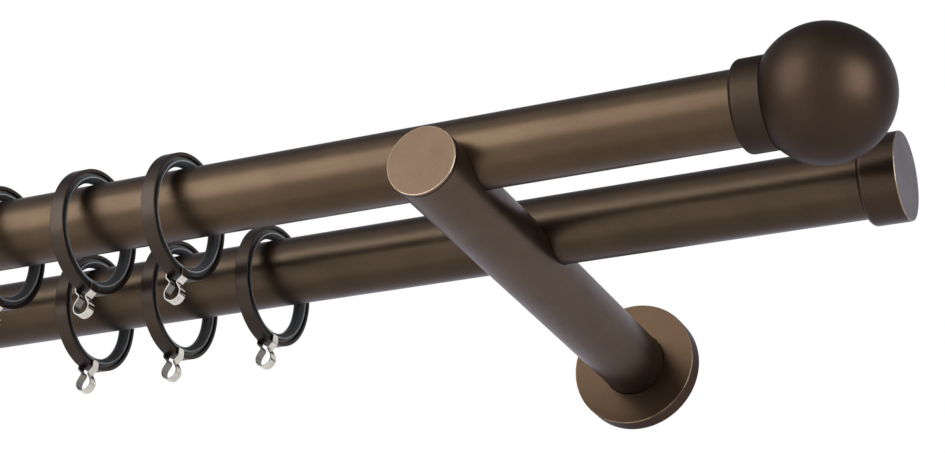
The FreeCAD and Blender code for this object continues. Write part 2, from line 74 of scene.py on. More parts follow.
def turned(name, centre, turn, stations, ring):
    """A piece turned on a lathe. A loop of corners is drawn out from station to station, each a
    distance along the axis and a radius. A ring closes on itself, anything else has flat ends."""
    axis = turn.to_matrix() @ Vector((0, 0, 1))
    along, radius = stations[0]
    bpy.ops.object.select_all(action="DESELECT")
    bpy.ops.mesh.primitive_circle_add(
        vertices=CORNERS_ROUND, radius=radius, location=centre + axis * along, rotation=turn)
    piece = bpy.context.object
    piece.name = name
    bpy.ops.object.transform_apply(location=True, rotation=True, scale=True)
    bpy.ops.object.mode_set(mode="EDIT")
    bpy.ops.mesh.select_mode(type="VERT")
    bpy.ops.mesh.select_all(action="SELECT")
    for next_along, next_radius in stations[1:]:
        bpy.ops.mesh.extrude_region_move(
            TRANSFORM_OT_translate={"value": axis * (next_along - along)})
        bpy.ops.transform.resize(
            value=(next_radius / radius,) * 3, center_override=centre + axis * next_along)
        along, radius = next_along, next_radius
    bpy.ops.mesh.select_all(action="DESELECT")
    bpy.ops.mesh.select_non_manifold()
    if ring:
        bpy.ops.mesh.bridge_edge_loops()
    else:
        bpy.ops.mesh.fill_holes(sides=0)
    bpy.ops.mesh.select_all(action="SELECT")
    bpy.ops.mesh.normals_make_consistent(inside=False)
    bpy.ops.object.mode_set(mode="OBJECT")
    return piece


def round_edge(piece, centre, turn, station, width, steps=EDGE_STEPS, mark=None):
    """Rounds the circular edge at one station. It may be marked as rubbed, for the bare metal
    there, which on the nylon liner is a painted highlight instead, or as a seam, for a dark line
    of painted shade there."""
    axis = turn.to_matrix() @ Vector((0, 0, 1))
    along, radius = station

    def on_station(edge):
        outs = [v.co - centre for v in edge.verts]
        return all(abs(out.dot(axis) - along) < NEAR for out in outs) and all(
            abs((out - axis * along).length - radius) < NEAR for out in outs)

    bpy.context.view_layer.objects.active = piece
    bpy.ops.object.mode_set(mode="EDIT")
    pick(piece, "EDGE", on_station)
    bpy.ops.mesh.bevel(offset=width, segments=steps, affect="EDGES")
    if mark:
        mesh = bmesh.from_edit_mesh(piece.data)
        marks = mesh.faces.layers.float.get(mark) or mesh.faces.layers.float.new(mark)
        for face in mesh.faces:
            if face.select and len(face.verts) == FACE_CORNERS:
                face[marks] = 1.0
        bmesh.update_edit_mesh(piece.data)
    bpy.ops.object.mode_set(mode="OBJECT")


def finish(piece, body, slot, material, *nodes):
    """Smooths a finished piece, gives it its material and hands it to the body that carries it."""
    bpy.ops.object.select_all(action="DESELECT")
    piece.select_set(True)
    bpy.context.view_layer.objects.active = piece
    bpy.ops.object.shade_smooth_by_angle(angle=SMOOTH_BELOW)
    even = piece.modifiers.new("even_shading", "WEIGHTED_NORMAL")
    even.keep_sharp = True
    bpy.ops.object.modifier_apply(modifier=even.name)
    piece.data.materials.clear()
    piece.data.materials.append(material)
    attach(piece, body)
    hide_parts(*nodes)


def feed(tree, socket, value):
    """Gives a socket a value, or links it to the output that feeds it."""
    if isinstance(value, bpy.types.NodeSocket):
        tree.links.new(value, socket)
    else:
        socket.default_value = value


def node(tree, kind, settings=None, **sockets):
    """Adds a shader node, with its settings and what its named sockets are fed."""
    made = tree.nodes.new(kind)
    for name, value in (settings or {}).items():
        setattr(made, name, value)
    for name, value in sockets.items():
        feed(tree, made.inputs[name.replace("_", " ")], value)
    return made


def group(name, inputs, outputs):
    """An empty shader node group with named sockets, and its input and output nodes."""
    tree = bpy.data.node_groups.new(name, "ShaderNodeTree")
    for label, kind in inputs:
        tree.interface.new_socket(label, in_out="INPUT", socket_type="NodeSocket" + kind)
    for label, kind in outputs:
        tree.interface.new_socket(label, in_out="OUTPUT", socket_type="NodeSocket" + kind)
    return tree, tree.nodes.new("NodeGroupInput"), tree.nodes.new("NodeGroupOutput")


def noise(tree, vector, scale, detail, roughness):
    """The value of a noise pattern, with about so many patches to the metre."""
    return node(tree, "ShaderNodeTexNoise", None,
                Vector=vector, Scale=scale, Detail=detail, Roughness=roughness).outputs[0]


def remap(tree, value, band, at_start, at_end):
    """A smooth step from one number to another, as a value crosses a band."""
    return node(tree, "ShaderNodeMapRange", {"interpolation_type": "SMOOTHSTEP"}, Value=value,
                From_Min=band[0], From_Max=band[1], To_Min=at_start, To_Max=at_end).outputs["Result"]


def maths(tree, operation, first, second):
    """The result of a sum on two values."""
    made = node(tree, "ShaderNodeMath", {"operation": operation})
    feed(tree, made.inputs[0], first)
    feed(tree, made.inputs[1], second)
    return made.outputs[0]


def mixed(tree, factor, first, second):
    """Two colours mixed. A Mix node tells its colour sockets from the others by number only."""
    factor_socket, first_socket, second_socket, result_socket = 0, 6, 7, 2
    made = node(tree, "ShaderNodeMix", {"data_type": "RGBA"})
    feed(tree, made.inputs[factor_socket], factor)
    feed(tree, made.inputs[first_socket], first)
    feed(tree, made.inputs[second_socket], second)
    return made.outputs[result_socket]


CLOUD_BAND = (0.32, 0.68)
CLOUD_SHARE = 0.75
FLECK_BAND = (0.35, 0.7)
FLECK_SHARE = 0.25


def make_lacquer_tone():
    """Slow clouds and a fine fleck of tone in the sprayed lacquer."""
    tree, given, out = group(
        "lacquer_tone",
        [("Vector", "Vector"), ("Deep", "Color"), ("Pale", "Color"), ("Cloud Scale", "Float"),
         ("Fleck Scale", "Float")],
        [("Color", "Color")])
    clouds = noise(tree, given.outputs["Vector"], given.outputs["Cloud Scale"],
                   detail=3.0, roughness=0.55)
    flecks = noise(tree, given.outputs["Vector"], given.outputs["Fleck Scale"],
                   detail=2.0, roughness=0.6)
    cloud_mask = remap(tree, clouds, CLOUD_BAND, 0.0, CLOUD_SHARE)
    fleck_mask = remap(tree, flecks, FLECK_BAND, 0.0, FLECK_SHARE)
    mask = maths(tree, "ADD", cloud_mask, fleck_mask)
    tone = mixed(tree, mask, given.outputs["Deep"], given.outputs["Pale"])
    feed(tree, out.inputs["Color"], tone)
    return tree


GRAIN_BAND = (0.35, 0.65)
SHEEN_PATCHES = 40.0
EQUAL_SHARE = 0.5


def make_satin_grain():
    """The satin: fine brushing under the lacquer, longer one way, and its uneven sheen."""
    tree, given, out = group(
        "satin_grain",
        [("Vector", "Vector"), ("Stretch", "Vector"), ("Scale", "Float"), ("Low", "Float"),
         ("High", "Float")],
        [("Roughness", "Float"), ("Height", "Float")])
    stretched = node(tree, "ShaderNodeVectorMath", {"operation": "MULTIPLY"})
    feed(tree, stretched.inputs[0], given.outputs["Vector"])
    feed(tree, stretched.inputs[1], given.outputs["Stretch"])
    lines = noise(tree, stretched.outputs[0], given.outputs["Scale"], detail=3.0, roughness=0.6)
    patches = noise(tree, given.outputs["Vector"], SHEEN_PATCHES, detail=2.0, roughness=0.5)
    both = maths(tree, "ADD", maths(tree, "MULTIPLY", lines, EQUAL_SHARE),
                 maths(tree, "MULTIPLY", patches, EQUAL_SHARE))
    rough = remap(tree, both, GRAIN_BAND, given.outputs["Low"], given.outputs["High"])
    feed(tree, out.inputs["Roughness"], rough)
    feed(tree, out.inputs["Height"], lines)
    return tree


WEAR_PATCHES = 160.0
WEAR_BAND = (0.28, 0.52)
LEAST_WEAR = 0.25
WORN_SMOOTHER = 0.12


def make_rubbed_edge():
    """Bare metal where hands and polishing wear an edge, broken up along its length. On the
    nylon liner the same mix paints a light grey highlight on the lip.
    """
    tree, given, out = group(
        "rubbed_edge",
        [("Color", "Color"), ("Bare Metal", "Color"), ("Edge", "Float"), ("Vector", "Vector"),
         ("Roughness", "Float")],
        [("Color", "Color"), ("Roughness", "Float")])
    patches = noise(tree, given.outputs["Vector"], WEAR_PATCHES, detail=3.0, roughness=0.65)
    worn = remap(tree, patches, WEAR_BAND, LEAST_WEAR, 1.0)
    mask = maths(tree, "MULTIPLY", worn, given.outputs["Edge"])
    tone = mixed(tree, mask, given.outputs["Color"], given.outputs["Bare Metal"])
    feed(tree, out.inputs["Color"], tone)
    smoother = maths(tree, "MULTIPLY", mask, WORN_SMOOTHER)
    feed(tree, out.inputs["Roughness"],
         maths(tree, "SUBTRACT", given.outputs["Roughness"], smoother))
    return tree


lacquer_tone = make_lacquer_tone()
satin_grain = make_satin_grain()
rubbed_edge = make_rubbed_edge()
RELIEF_DEPTH = 0.1 * MM


def in_group(tree, kind, **sockets):
    """Places a shader node group in a material, with values of its own."""
    return node(tree, "ShaderNodeGroup", {"node_tree": kind}, **sockets)


def new_material(name):
    """A new material, its node tree, and the place on the piece, which its patterns follow."""
    material = bpy.data.materials.new(name)
    material.use_nodes = True
    tree = material.node_tree
    return material, tree, tree.nodes.new("ShaderNodeTexCoord").outputs["Object"]


def marked(tree, mark):
    """The mask of the faces that carry a mark."""
    return node(tree, "ShaderNodeAttribute", {"attribute_name": mark}).outputs["Fac"]


def feed_shader(tree, colour, roughness, height, relief, metallic):
    """Feeds a material's shader its colour, its roughness and its fine relief."""
    shader = tree.nodes["Principled BSDF"]
    bump = node(tree, "ShaderNodeBump", None, Strength=relief, Distance=RELIEF_DEPTH,
                Height=height)
    feed(tree, shader.inputs["Base Color"], colour)
    feed(tree, shader.inputs["Roughness"], roughness)
    feed(tree, shader.inputs["Normal"], bump.outputs["Normal"])
    feed(tree, shader.inputs["Metallic"], metallic)
    return shader


ALL_WAYS = (1.0, 1.0, 1.0)
SATIN = (0.31, 0.38)
LACQUER_METALLIC = 0.92
LACQUER_SHEEN = 0.65
SHEEN_BLUE = 1.12
LACQUER_CLOUDS = 38.0
LACQUER_FLECKS = 900.0
LACQUER_GRAIN = 1400.0
LACQUER_RELIEF = 0.06
BRASS = (0.30, 0.225, 0.155)
# Near black painted into the seams: painted shade.
SEAM_PAINTED_SHADE = (0.008, 0.005, 0.004, 1)


def bronze(name, deep, pale, brushed=ALL_WAYS, rough=SATIN, metallic=LACQUER_METALLIC,
           sheen=LACQUER_SHEEN, bare=BRASS):
    """Dark bronze satin lacquer over metal, with bare metal on the edges marked as rubbed and
    a near black painted shade in those marked as a seam."""
    material, tree, place = new_material(name)
    low, high = rough
    tone = in_group(tree, lacquer_tone, Vector=place, Deep=(*deep, 1), Pale=(*pale, 1),
                    Cloud_Scale=LACQUER_CLOUDS, Fleck_Scale=LACQUER_FLECKS)
    grain = in_group(tree, satin_grain, Vector=place, Stretch=brushed, Scale=LACQUER_GRAIN,
                     Low=low, High=high)
    worn = in_group(tree, rubbed_edge, Color=tone.outputs["Color"], Bare_Metal=(*bare, 1),
                    Edge=marked(tree, "rubbed"), Vector=place,
                    Roughness=grain.outputs["Roughness"])
    # Faces marked as a seam are painted near black, a line of painted shade.
    shown = mixed(tree, marked(tree, "seam"), worn.outputs["Color"], SEAM_PAINTED_SHADE)
    shader = feed_shader(tree, shown, worn.outputs["Roughness"], grain.outputs["Height"],
                         LACQUER_RELIEF, metallic)
    shader.inputs["Specular Tint"].default_value = (sheen, sheen, sheen * SHEEN_BLUE, 1)
    return material


ALONG_TUBE = (0.05, 1.0, 1.0)
POLE_SHEEN = 0.85
# Both poles have one real finish; the front pole's lacquer is painted a shade lighter, as painted
# light.
front_pole_painted_light_lacquer = bronze("bronze_lacquer_front_pole", deep=(0.066, 0.042, 0.025),
                            pale=(0.084, 0.054, 0.032), brushed=ALONG_TUBE, sheen=POLE_SHEEN)


def pole_tube(name, cad_node, lacquer):
    """A pole as long and as thick as its CAD node, open at both ends."""
    low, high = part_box(cad_node)
    centre = (low + high) / 2
    outer = (high.z - low.z) / 2
    half = (high.x - low.x) / 2
    bore = outer - POLE_WALL
    tube = turned(name, centre, ALONG_POLE,
                  [(-half, outer), (half, outer), (half, bore), (-half, bore)], ring=True)
    for end in (-half, half):
        round_edge(tube, centre, ALONG_POLE, (end, outer), CUT_EDGE)
    finish(tube, "root", "bronze_lacquer", lacquer, cad_node)


pole_tube("front_pole_tube", "front_pole", front_pole_painted_light_lacquer)


# Rear pole
# The same tube, 27 mm longer at each end, lying in the rear saddles nearer the wall. Its ends are
# hidden in the flat caps. Its lacquer is painted a shade darker, as painted shade from the front
# pole.
rear_pole_painted_shade_lacquer = bronze("bronze_lacquer_rear_pole", deep=(0.050, 0.033, 0.020),
                           pale=(0.064, 0.042, 0.027), brushed=ALONG_TUBE, sheen=POLE_SHEEN)
pole_tube("rear_pole_tube", "rear_pole", rear_pole_painted_shade_lacquer)


# Wall plates
# A turned steel disc behind each rose, zinc plated, screwed to the wall through three countersunk
# holes. Its boss fills the arm's end. It is hidden from most sides.
SIDES = ("right", "left")
STEEL_RELIEF = 0.15


def steel(name, deep, pale, clouds, flecks, grain, low, high, metallic):
    """A plated or blackened steel, mottled and finely pitted by its bath."""
    material, tree, place = new_material(name)
    tone = in_group(tree, lacquer_tone, Vector=place, Deep=(*deep, 1), Pale=(*pale, 1),
                    Cloud_Scale=clouds, Fleck_Scale=flecks)
    pits = in_group(tree, satin_grain, Vector=place, Stretch=ALL_WAYS, Scale=grain,
                    Low=low, High=high)
    feed_shader(tree, tone.outputs["Color"], pits.outputs["Roughness"], pits.outputs["Height"],
                STEEL_RELIEF, metallic)
    return material


def repaint(cad_node, material):
    """Gives a CAD piece that stays as it is a finish of its own."""
    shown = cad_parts[cad_node]
    shown.data.materials.clear()
    shown.data.materials.append(material)


plate_zinc = steel("zinc_plated_steel", deep=(0.33, 0.34, 0.36), pale=(0.50, 0.51, 0.53),
                   clouds=160.0, flecks=2600.0, grain=1800.0, low=0.28, high=0.46, metallic=1.0)
for side in SIDES:
    repaint("wall_plate_" + side, plate_zinc)


# Roses
# A turned cover that slides along the arm and hides the wall plate and its screws. The front edge
# is rubbed through to brass all the way round.
ROSE_RIM_WALL = 3.1 * MM
ROSE_FRONT_WALL = 2.5 * MM
ROSE_BORE = 14.2 * MM
ROSE_BORE_EDGE = 0.15 * MM
ROSE_BACK_EDGE = 0.2 * MM
RUBBED_EDGE = 0.4 * MM
RUBBED_STEPS = 3
# The roses share the arm caps' finish; their lacquer is painted a shade deeper, as painted shade.
rose_painted_shade_lacquer = bronze("bronze_lacquer_roses", deep=(0.051, 0.031, 0.018),
                      pale=(0.064, 0.038, 0.022), sheen=0.45, bare=(0.16, 0.108, 0.065))


def rose_cover(side):
    """The rose at one end, hollow behind its front wall."""
    low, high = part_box("rose_" + side)
    centre = Vector(((low.x + high.x) / 2, high.y, (low.z + high.z) / 2))
    outer = (high.x - low.x) / 2
    front = high.y - low.y
    cavity = outer - ROSE_RIM_WALL
    inside = front - ROSE_FRONT_WALL
    cover = turned("rose_cover_" + side, centre, OUT_OF_WALL,
                   [(0, outer), (front, outer), (front, ROSE_BORE), (inside, ROSE_BORE),
                    (inside, cavity), (0, cavity)], ring=True)
    round_edge(cover, centre, OUT_OF_WALL, (front, outer), RUBBED_EDGE, RUBBED_STEPS, "rubbed")
    round_edge(cover, centre, OUT_OF_WALL, (front, ROSE_BORE), ROSE_BORE_EDGE)
    round_edge(cover, centre, OUT_OF_WALL, (0, outer), ROSE_BACK_EDGE)
    finish(cover, "root", "bronze_lacquer", rose_painted_shade_lacquer, "rose_" + side)


for side in SIDES:
    rose_cover(side)


# Bracket arms
# A tube that stands out from the wall plate. A saddle is milled across its top for each pole, as
# deep as the pole's seat needs, and a tapped hole near the wall takes the screw that holds it.
POLES = ("front", "rear")
ARM_BORE = 11.5 * MM
SADDLE_CLEARANCE = 0.15 * MM
SEAM_EDGE = 0.25 * MM
SCREW_HOLE = 2.05 * MM
SCREW_HOLE_SIDES = 48
BEYOND = 2 * MM
UPRIGHT = Euler((0, 0, 0))
ALONG_ARM = (1.0, 0.05, 1.0)
arm_lacquer = bronze("bronze_lacquer_arms", deep=(0.078, 0.052, 0.034),
                     pale=(0.097, 0.065, 0.043), brushed=ALONG_ARM, sheen=0.8)


def bored(piece, start, turn, radius, length, sides):
    """Bores a round hole into a piece from a point, as a drill or a milling cutter does."""
    axis = turn.to_matrix() @ Vector((0, 0, 1))
    bpy.ops.object.select_all(action="DESELECT")
    bpy.ops.mesh.primitive_cylinder_add(
        vertices=sides, radius=radius, depth=length, location=start + axis * length / 2,
        rotation=turn)
    cutter = bpy.context.object
    bore = piece.modifiers.new("bore", "BOOLEAN")
    bore.operation = "DIFFERENCE"
    bore.solver = "EXACT"
    bore.object = cutter
    bpy.context.view_layer.objects.active = piece
    bpy.ops.object.modifier_apply(modifier=bore.name)
    bpy.data.objects.remove(cutter)


def arm_tube(side):
    """The arm at one end, with its two saddles and its screw hole."""
    low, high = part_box("arm_" + side)
    centre = Vector(((low.x + high.x) / 2, 0, (low.z + high.z) / 2))
    outer = (high.x - low.x) / 2
    start, end = -high.y, -low.y
    arm = turned("arm_tube_" + side, centre, OUT_OF_WALL,
                 [(start, outer), (end, outer), (end, ARM_BORE), (start, ARM_BORE)], ring=True)
    # The front end's edge is marked as a seam, for a line of painted shade where the cap meets it.
    round_edge(arm, centre, OUT_OF_WALL, (end, outer), SEAM_EDGE, mark="seam")
    for pole in POLES:
        seat_low, seat_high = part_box(pole + "_pole")
        seat_radius = (seat_high.z - seat_low.z) / 2 + SADDLE_CLEARANCE
        seat = (seat_low + seat_high) / 2
        seat.x = low.x - BEYOND
        bored(arm, seat, ALONG_POLE, seat_radius, (outer + BEYOND) * 2, CORNERS_ROUND)
    screw_low, screw_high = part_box("arm_grub_screws")
    screw = Vector((centre.x, (screw_low.y + screw_high.y) / 2, centre.z))
    bored(arm, screw, UPRIGHT, SCREW_HOLE, outer + BEYOND, SCREW_HOLE_SIDES)
    finish(arm, "root", "bronze_lacquer", arm_lacquer, "arm_" + side)


for side in SIDES:
    arm_tube(side)


# Arm caps
# A turned disc with a spigot, pressed into the arm's front end. Its rim is rubbed to brass, and a
# dark line of painted shade marks the seam where it meets the tube.
CAP_DISC = 1.6 * MM
CAP_SPIGOT = 11.4 * MM
cap_lacquer = bronze("bronze_lacquer_arm_caps", deep=(0.076, 0.047, 0.030),
                     pale=(0.095, 0.060, 0.039))


def arm_cap(side):
    """The cap in the front end of one arm."""
    low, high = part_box("arm_cap_" + side)
    centre = Vector(((low.x + high.x) / 2, 0, (low.z + high.z) / 2))
    outer = (high.x - low.x) / 2
    tip, front = -high.y, -low.y
    back = front - CAP_DISC
    cap = turned("arm_cap_disc_" + side, centre, OUT_OF_WALL,
                 [(tip, CAP_SPIGOT), (back, CAP_SPIGOT), (back, outer), (front, outer)],
                 ring=False)
    round_edge(cap, centre, OUT_OF_WALL, (front, outer), RUBBED_EDGE, RUBBED_STEPS, "rubbed")
    # The disc's back edge is marked as a seam, for a line of painted shade.
    round_edge(cap, centre, OUT_OF_WALL, (back, outer), SEAM_EDGE, mark="seam")
    finish(cap, "root", "bronze_lacquer", cap_lacquer, "arm_cap_" + side)


for side in SIDES:
    arm_cap(side)


# Finial collars
# A turned cup slipped over each end of the front pole and held by a grub screw on its wall side.
# The mouth is rounded and the closed end is faced flat for the ball.
CUP_BORE = 14.15 * MM
MOUTH_ROUNDING = 2.4 * MM
MOUTH_STEPS = 8
COLLAR_END_WALL = 2.5 * MM
COLLAR_HOLE = 3.15 * MM
MATT = (0.38, 0.46)
INTO_WALL = Euler((-QUARTER_TURN, 0, 0))
collar_lacquer = bronze("bronze_lacquer_collars", deep=(0.032, 0.021, 0.014),
                        pale=(0.041, 0.027, 0.018), rough=MATT)
pole_low, pole_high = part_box("front_pole")


def turned_round(piece, name):
    """A copy for the left-hand end, turned half round about the middle of the poles."""
    bpy.ops.object.select_all(action="DESELECT")
    piece.select_set(True)
    bpy.context.view_layer.objects.active = piece
    bpy.ops.object.duplicate()
    copy = bpy.context.object
    copy.name = name
    copy.rotation_euler = (0, math.pi, 0)
    copy.location = (pole_low.x + pole_high.x, 0, pole_low.z + pole_high.z)
    bpy.ops.object.transform_apply(location=True, rotation=True, scale=True)
    return copy


def screw_bore(piece, screws):
    """The hole for the right-hand one of two grub screws, open towards the wall."""
    low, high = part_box(screws)
    start = Vector((high.x - (high.z - low.z) / 2, low.y - MM, (low.z + high.z) / 2))
    bored(piece, start, INTO_WALL, SCREW_HOLE, high.y - low.y + BEYOND, SCREW_HOLE_SIDES)


low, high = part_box("finial_collar_right")
centre = Vector((0, (low.y + high.y) / 2, (low.z + high.z) / 2))
outer = (high.z - low.z) / 2
mouth, face = low.x, high.x
floor_of_cup = face - COLLAR_END_WALL
collar = turned("finial_collar_cup_right", centre, ALONG_POLE,
                [(mouth, CUP_BORE), (mouth, outer), (face, outer), (face, COLLAR_HOLE),
                 (floor_of_cup, COLLAR_HOLE), (floor_of_cup, CUP_BORE)], ring=True)
screw_bore(collar, "collar_grub_screws")
round_edge(collar, centre, ALONG_POLE, (mouth, outer), MOUTH_ROUNDING, MOUTH_STEPS)
round_edge(collar, centre, ALONG_POLE, (face, outer), SEAM_EDGE)
left_collar = turned_round(collar, "finial_collar_cup_left")
finish(collar, "root", "bronze_lacquer", collar_lacquer, "finial_collar_right")
finish(left_collar, "root", "bronze_lacquer", collar_lacquer, "finial_collar_left")


# Ball finials
# A turned ball, 50 mm across, with a small flat that seats on the collar and a tapped hole for
# the screw that comes through from inside the collar.
BALL_RADIUS = 25 * MM
FLAT_TO_HOLE = 13.7 * MM
TAPPED_HOLE_DEPTH = 13 * MM
BALL_DEEP = (0.039, 0.0242, 0.016)
BALL_PALE = (0.049, 0.031, 0.0205)
ball_lacquer = bronze("bronze_lacquer_balls", BALL_DEEP, BALL_PALE, rough=MATT)
low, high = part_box("finial_ball_right")
ball_centre = Vector((high.x - BALL_RADIUS, (low.y + high.y) / 2, (low.z + high.z) / 2))
bpy.ops.object.select_all(action="DESELECT")
bpy.ops.mesh.primitive_uv_sphere_add(
    segments=CORNERS_ROUND, ring_count=CORNERS_ROUND // 2, radius=BALL_RADIUS,
    location=ball_centre, rotation=ALONG_POLE)
ball = bpy.context.object
ball.name = "finial_ball_turning_right"
bpy.ops.object.transform_apply(location=True, rotation=True, scale=True)
bpy.ops.object.mode_set(mode="EDIT")
bpy.ops.mesh.select_all(action="SELECT")
bpy.ops.mesh.bisect(plane_co=(low.x, 0, 0), plane_no=(1, 0, 0), clear_inner=True, use_fill=True)
pick(ball, "FACE", lambda f: all(abs(v.co.x - low.x) < NEAR for v in f.verts))
bpy.ops.mesh.inset(thickness=FLAT_TO_HOLE)
bpy.ops.mesh.extrude_region_move(TRANSFORM_OT_translate={"value": (TAPPED_HOLE_DEPTH, 0, 0)})
bpy.ops.mesh.select_all(action="SELECT")
bpy.ops.mesh.normals_make_consistent(inside=False)
bpy.ops.object.mode_set(mode="OBJECT")
left_ball = turned_round(ball, "finial_ball_turning_left")
finish(ball, "root", "bronze_lacquer", ball_lacquer, "finial_ball_right")
finish(left_ball, "root", "bronze_lacquer", ball_lacquer, "finial_ball_left")


# End caps
# A flat-faced cup over each end of the rear pole, turned like the collar and held the same way.
# The edge of the flat face is rubbed to a thin brass line.
CAP_END_WALL = 3 * MM
end_cap_lacquer = bronze("bronze_lacquer_end_caps", BALL_DEEP, BALL_PALE, sheen=0.8)
low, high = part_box("end_cap_right")
centre = Vector((0, (low.y + high.y) / 2, (low.z + high.z) / 2))
outer = (high.z - low.z) / 2
mouth, face = low.x, high.x
floor_of_cup = face - CAP_END_WALL
cap = turned("end_cap_cup_right", centre, ALONG_POLE,
             [(floor_of_cup, CUP_BORE), (mouth, CUP_BORE), (mouth, outer), (face, outer)],
             ring=False)
screw_bore(cap, "end_cap_grub_screws")
round_edge(cap, centre, ALONG_POLE, (mouth, outer), MOUTH_ROUNDING, MOUTH_STEPS)
round_edge(cap, centre, ALONG_POLE, (face, outer), RUBBED_EDGE, RUBBED_STEPS, "rubbed")
left_cap = turned_round(cap, "end_cap_cup_left")
finish(cap, "root", "bronze_lacquer", end_cap_lacquer, "end_cap_right")
finish(left_cap, "root", "bronze_lacquer", end_cap_lacquer, "end_cap_left")


# Screws
# Socket-headed steel screws with a black oxide finish: grub screws in the arms, collars and end
# caps, and the screw that pulls each ball onto its collar.
screw_black = steel("black_oxide_steel", deep=(0.012, 0.012, 0.014), pale=(0.035, 0.034, 0.036),
                    clouds=500.0, flecks=3500.0, grain=2500.0, low=0.35, high=0.55, metallic=0.9)
for screws in ("arm_grub_screws", "collar_grub_screws", "end_cap_grub_screws", "finial_screws"):
    repaint(screws, screw_black)


# Ring bands
# The metal hoop of each curtain ring, 6 mm wide, lacquered darker than the poles, with softly
# broken edges. One is turned and the others are copies.
RING_NUMBERS = (1, 2, 3)
BAND_BORE = 23.9 * MM
BAND_EDGE = 0.35 * MM
BAND_EDGE_STEPS = 3
BAND_BORE_EDGE = 0.15 * MM
CHAMFER_STEPS = 1
band_lacquer = bronze("bronze_lacquer_rings", deep=(0.034, 0.024, 0.017),
                      pale=(0.047, 0.032, 0.023), metallic=0.8)


def copied(piece, name, place):
    """A copy with its own mesh, moved from the origin to its place."""
    bpy.ops.object.select_all(action="DESELECT")
    piece.select_set(True)
    bpy.context.view_layer.objects.active = piece
    bpy.ops.object.duplicate()
    copy = bpy.context.object
    copy.name = name
    copy.location = place
    bpy.ops.object.transform_apply(location=True, rotation=True, scale=True)
    return copy


def ring_place(pole, number):
    """The middle of a ring at rest."""
    low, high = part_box("%s_ring_band_%d" % (pole, number))
    return (low + high) / 2


origin = Vector((0, 0, 0))
low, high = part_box("front_ring_band_1")
outer = (high.z - low.z) / 2
band_half = (high.x - low.x) / 2
hoop = turned("ring_hoop", origin, ALONG_POLE,
              [(-band_half, outer), (band_half, outer), (band_half, BAND_BORE),
               (-band_half, BAND_BORE)], ring=True)
for end in (-band_half, band_half):
    round_edge(hoop, origin, ALONG_POLE, (end, outer), BAND_EDGE, BAND_EDGE_STEPS)
    round_edge(hoop, origin, ALONG_POLE, (end, BAND_BORE), BAND_BORE_EDGE, CHAMFER_STEPS)
for pole in POLES:
    for number in RING_NUMBERS:
        made = copied(hoop, "%s_ring_hoop_%d" % (pole, number), ring_place(pole, number))
        finish(made, "%s_ring_%d" % (pole, number), "bronze_lacquer", band_lacquer,
               "%s_ring_band_%d" % (pole, number))
bpy.data.objects.remove(hoop)


# Ring liners
# A moulded nylon hoop, dark slate grey, snapped into each band so that the ring glides. Its bore
# is crowned. A groove parts it from the band on each side, with a hole for the clip's peg in it.
LINER_HALF = 2.9 * MM
LINER_OUTER = 23.85 * MM
LINER_LIP = 22 * MM
LIP_ROUNDING = 0.25 * MM
LINER_BORE = 20 * MM
LINER_LAND = 1.2 * MM
LAND_ROUNDING = 0.7 * MM
LAND_STEPS = 4
GROOVE_FLOOR = 1.9 * MM
GROOVE_RADIUS = 22.8 * MM
GROOVE_ROUNDING = 0.12 * MM
PEG_PLACE = 23.25 * MM
PEG_RADIUS = 0.35 * MM
PEG_HOLE = 0.4 * MM
PEG_HOLE_END = 0.9 * MM
PEG_HOLE_SIDES = 24
NYLON_CLOUDS = 120.0
NYLON_FLECKS = 2200.0
NYLON_GRAIN = 900.0
NYLON_RELIEF = 0.1

nylon, nylon_tree, nylon_place = new_material("slate_nylon")
nylon_tone = in_group(nylon_tree, lacquer_tone, Vector=nylon_place, Deep=(0.034, 0.035, 0.037, 1),
                      Pale=(0.054, 0.056, 0.059, 1), Cloud_Scale=NYLON_CLOUDS,
                      Fleck_Scale=NYLON_FLECKS)
nylon_grain = in_group(nylon_tree, satin_grain, Vector=nylon_place, Stretch=ALL_WAYS,
                       Scale=NYLON_GRAIN, Low=0.34, High=0.48)
# The lip edges marked as rubbed are painted light grey: a painted highlight.
nylon_painted_lip_highlight = in_group(nylon_tree, rubbed_edge, Color=nylon_tone.outputs["Color"],
                      Bare_Metal=(0.30, 0.30, 0.31, 1), Edge=marked(nylon_tree, "rubbed"),
                      Vector=nylon_place, Roughness=nylon_grain.outputs["Roughness"])
feed_shader(nylon_tree, nylon_painted_lip_highlight.outputs["Color"], nylon_painted_lip_highlight.outputs["Roughness"],
            nylon_grain.outputs["Height"], NYLON_RELIEF, metallic=0.0)

liner = turned("ring_nylon", origin, ALONG_POLE,
               [(-LINER_HALF, LINER_LIP), (-LINER_LAND, LINER_BORE), (LINER_LAND, LINER_BORE),
                (LINER_HALF, LINER_LIP), (LINER_HALF, GROOVE_RADIUS),
                (GROOVE_FLOOR, GROOVE_RADIUS), (GROOVE_FLOOR, LINER_OUTER),
                (-GROOVE_FLOOR, LINER_OUTER), (-GROOVE_FLOOR, GROOVE_RADIUS),
                (-LINER_HALF, GROOVE_RADIUS)], ring=True)
for end in (-1, 1):
    hole = Vector((band_half * end, 0, -PEG_PLACE))
    inward = Euler((0, -QUARTER_TURN * end, 0))
    bored(liner, hole, inward, PEG_HOLE, band_half - PEG_HOLE_END, PEG_HOLE_SIDES)
    round_edge(liner, origin, ALONG_POLE, (LINER_LAND * end, LINER_BORE), LAND_ROUNDING, LAND_STEPS)
    # The lip's rounding is marked for the painted light grey highlight.
    round_edge(liner, origin, ALONG_POLE, (LINER_HALF * end, LINER_LIP), LIP_ROUNDING,
               mark="rubbed")
    round_edge(liner, origin, ALONG_POLE, (LINER_HALF * end, GROOVE_RADIUS), GROOVE_ROUNDING,
               CHAMFER_STEPS)
for pole in POLES:
    for number in RING_NUMBERS:
        made = copied(liner, "%s_ring_nylon_%d" % (pole, number), ring_place(pole, number))
        finish(made, "%s_ring_%d" % (pole, number), "nylon", nylon,
               "%s_ring_liner_%d" % (pole, number))
bpy.data.objects.remove(liner)


